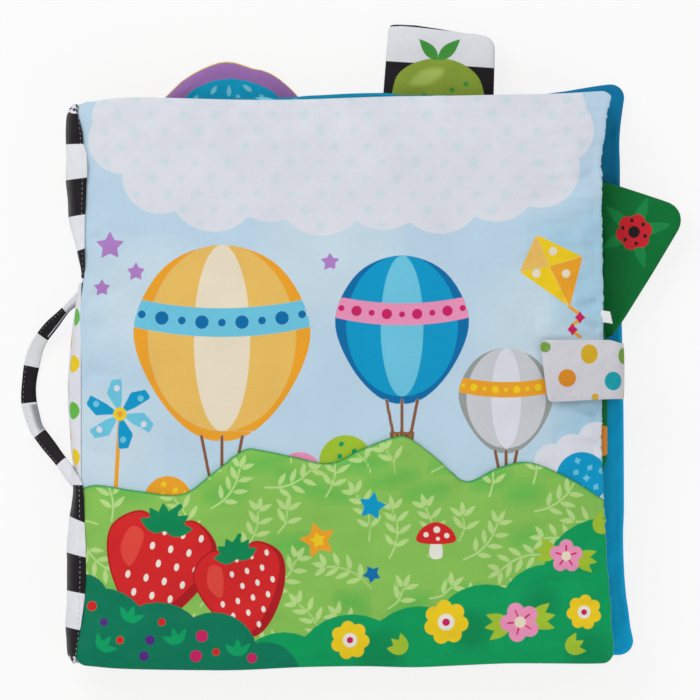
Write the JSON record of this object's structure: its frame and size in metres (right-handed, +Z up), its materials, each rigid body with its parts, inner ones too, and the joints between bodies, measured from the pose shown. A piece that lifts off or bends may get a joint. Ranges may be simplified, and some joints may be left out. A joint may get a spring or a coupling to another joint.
{
  "type": "cloth book",
  "caption": "Soft square cloth book with padded crinkle leaves on a striped spine, a carrying loop, fold-out tabs, a leafy pocket layer and a hook-and-loop closing strap.",
  "frame": {"origin": "middle of the closed book's outline, on the face that it rests on", "axes": "+X from the spine to the fore edge, +Y to the head of the book, +Z up through the leaves to the front cover"},
  "size_m": [0.2914, 0.283, 0.0365],
  "materials": {
    "cover_print": "satin polyester, sky print",
    "cover_lining": "satin polyester",
    "foliage_print": "satin polyester, leaf print",
    "page_teal": "satin polyester",
    "page_green": "satin polyester",
    "page_purple": "satin polyester",
    "page_orange": "satin polyester",
    "back_blue": "satin polyester",
    "spine_dots": "white polyester with dots",
    "strap_stripes": "black and white striped ribbon",
    "closure_dots": "white polyester with coloured dots",
    "tab_stripes": "black and white print",
    "tab_back": "white polyester",
    "arch_print": "purple and teal print",
    "arch_backing": "yellow polyester",
    "flap_print": "dark green print",
    "wadding": "polyester wadding",
    "crinkle_film": "thin clear crinkle film",
    "hook_loop": "hook-and-loop tape",
    "label": "white satin ribbon, bare"
  },
  "bodies": {
    "back_cover": {"back_cover_outer_cloth": "back_blue", "back_cover_inner_cloth": "back_blue", "back_cover_padding": "wadding", "back_cover_crinkle_film": "crinkle_film", "spine_cloth_lower": "spine_dots"},
    "leaf_2": {"leaf_2_back_cloth": "page_orange", "leaf_2_front_cloth": "page_purple", "leaf_2_padding": "wadding", "leaf_2_crinkle_film": "crinkle_film", "spine_cloth_middle": "spine_dots"},
    "leaf_1": {"leaf_1_back_cloth": "page_green", "leaf_1_front_cloth": "page_teal", "leaf_1_padding": "wadding", "leaf_1_crinkle_film": "crinkle_film", "spine_cloth_upper": "spine_dots", "spine_strap_upper": "strap_stripes", "spine_strap_lower": "strap_stripes"},
    "front_cover": {"front_cover_inner_cloth": "cover_lining", "front_cover_outer_cloth": "cover_print", "front_cover_padding": "wadding", "front_cover_crinkle_film": "crinkle_film", "foliage_pocket": "foliage_print", "closure_loop_patch": "hook_loop", "care_label": "label"},
    "handle": {"handle_loop": "strap_stripes"},
    "closure_side": {"closure_side_strap": "closure_dots"},
    "closure_end": {"closure_end_strap": "closure_dots", "closure_hook_patch": "hook_loop"},
    "top_tab": {"top_tab_front_cloth": "tab_stripes", "top_tab_back_cloth": "tab_back", "top_tab_crinkle_film": "crinkle_film"},
    "arch_flap": {"arch_flap_front_cloth": "arch_print", "arch_flap_back_cloth": "arch_backing", "arch_flap_crinkle_film": "crinkle_film"},
    "right_flap": {"right_flap_front_cloth": "flap_print", "right_flap_back_cloth": "flap_print", "right_flap_crinkle_film": "crinkle_film"}
  },
  "joints": [
    {"name": "front_cover_turn", "type": "hinge", "parent": "leaf_1", "child": "front_cover", "pos_m": [-0.124, -0.0135, 0.0243], "axis": [0, -1, 0], "range_deg": [0, 180], "deforming": ["spine_cloth_upper", "spine_strap_upper", "spine_strap_lower"]},
    {"name": "leaf_1_turn", "type": "hinge", "parent": "leaf_2", "child": "leaf_1", "pos_m": [-0.124, -0.0135, 0.0176], "axis": [0, 1, 0], "range_deg": [-180, 0], "deforming": ["spine_cloth_middle"]},
    {"name": "leaf_2_turn", "type": "hinge", "parent": "back_cover", "child": "leaf_2", "pos_m": [-0.124, -0.0135, 0.0176], "axis": [0, -1, 0], "range_deg": [0, 180], "deforming": ["spine_cloth_lower"]},
    {"name": "handle_swing", "type": "hinge", "parent": "back_cover", "child": "handle", "pos_m": [-0.1225, -0.0186, 0.019], "axis": [0, 1, 0], "range_deg": [0, 50], "deforming": ["handle_loop"]},
    {"name": "closure_side_turn", "type": "hinge", "parent": "back_cover", "child": "closure_side", "pos_m": [0.1202, -0.01075, 0.0026], "axis": [0, 1, 0], "range_deg": [0, 90], "deforming": ["closure_side_strap"]},
    {"name": "closure_end_turn", "type": "hinge", "parent": "closure_side", "child": "closure_end", "pos_m": [0.1202, -0.01075, 0.03655], "axis": [0, 1, 0], "range_deg": [0, 90], "deforming": ["closure_end_strap", "closure_hook_patch"]},
    {"name": "top_tab_turn", "type": "hinge", "parent": "leaf_2", "child": "top_tab", "pos_m": [0.0387, 0.11311, 0.012], "axis": [-1, 0, 0], "range_deg": [-60, 20]},
    {"name": "arch_flap_turn", "type": "hinge", "parent": "leaf_2", "child": "arch_flap", "pos_m": [-0.053, 0.11231, 0.012], "axis": [-1, 0, 0], "range_deg": [-60, 40]},
    {"name": "right_flap_turn", "type": "hinge", "parent": "leaf_2", "child": "right_flap", "pos_m": [0.11533, 0.0368, 0.012], "axis": [0, 1, 0], "range_deg": [-60, 18]}
  ],
  "couplings": [
    {"joint": "closure_end_turn", "follows": "closure_side_turn", "ratio": 1}
  ]
}
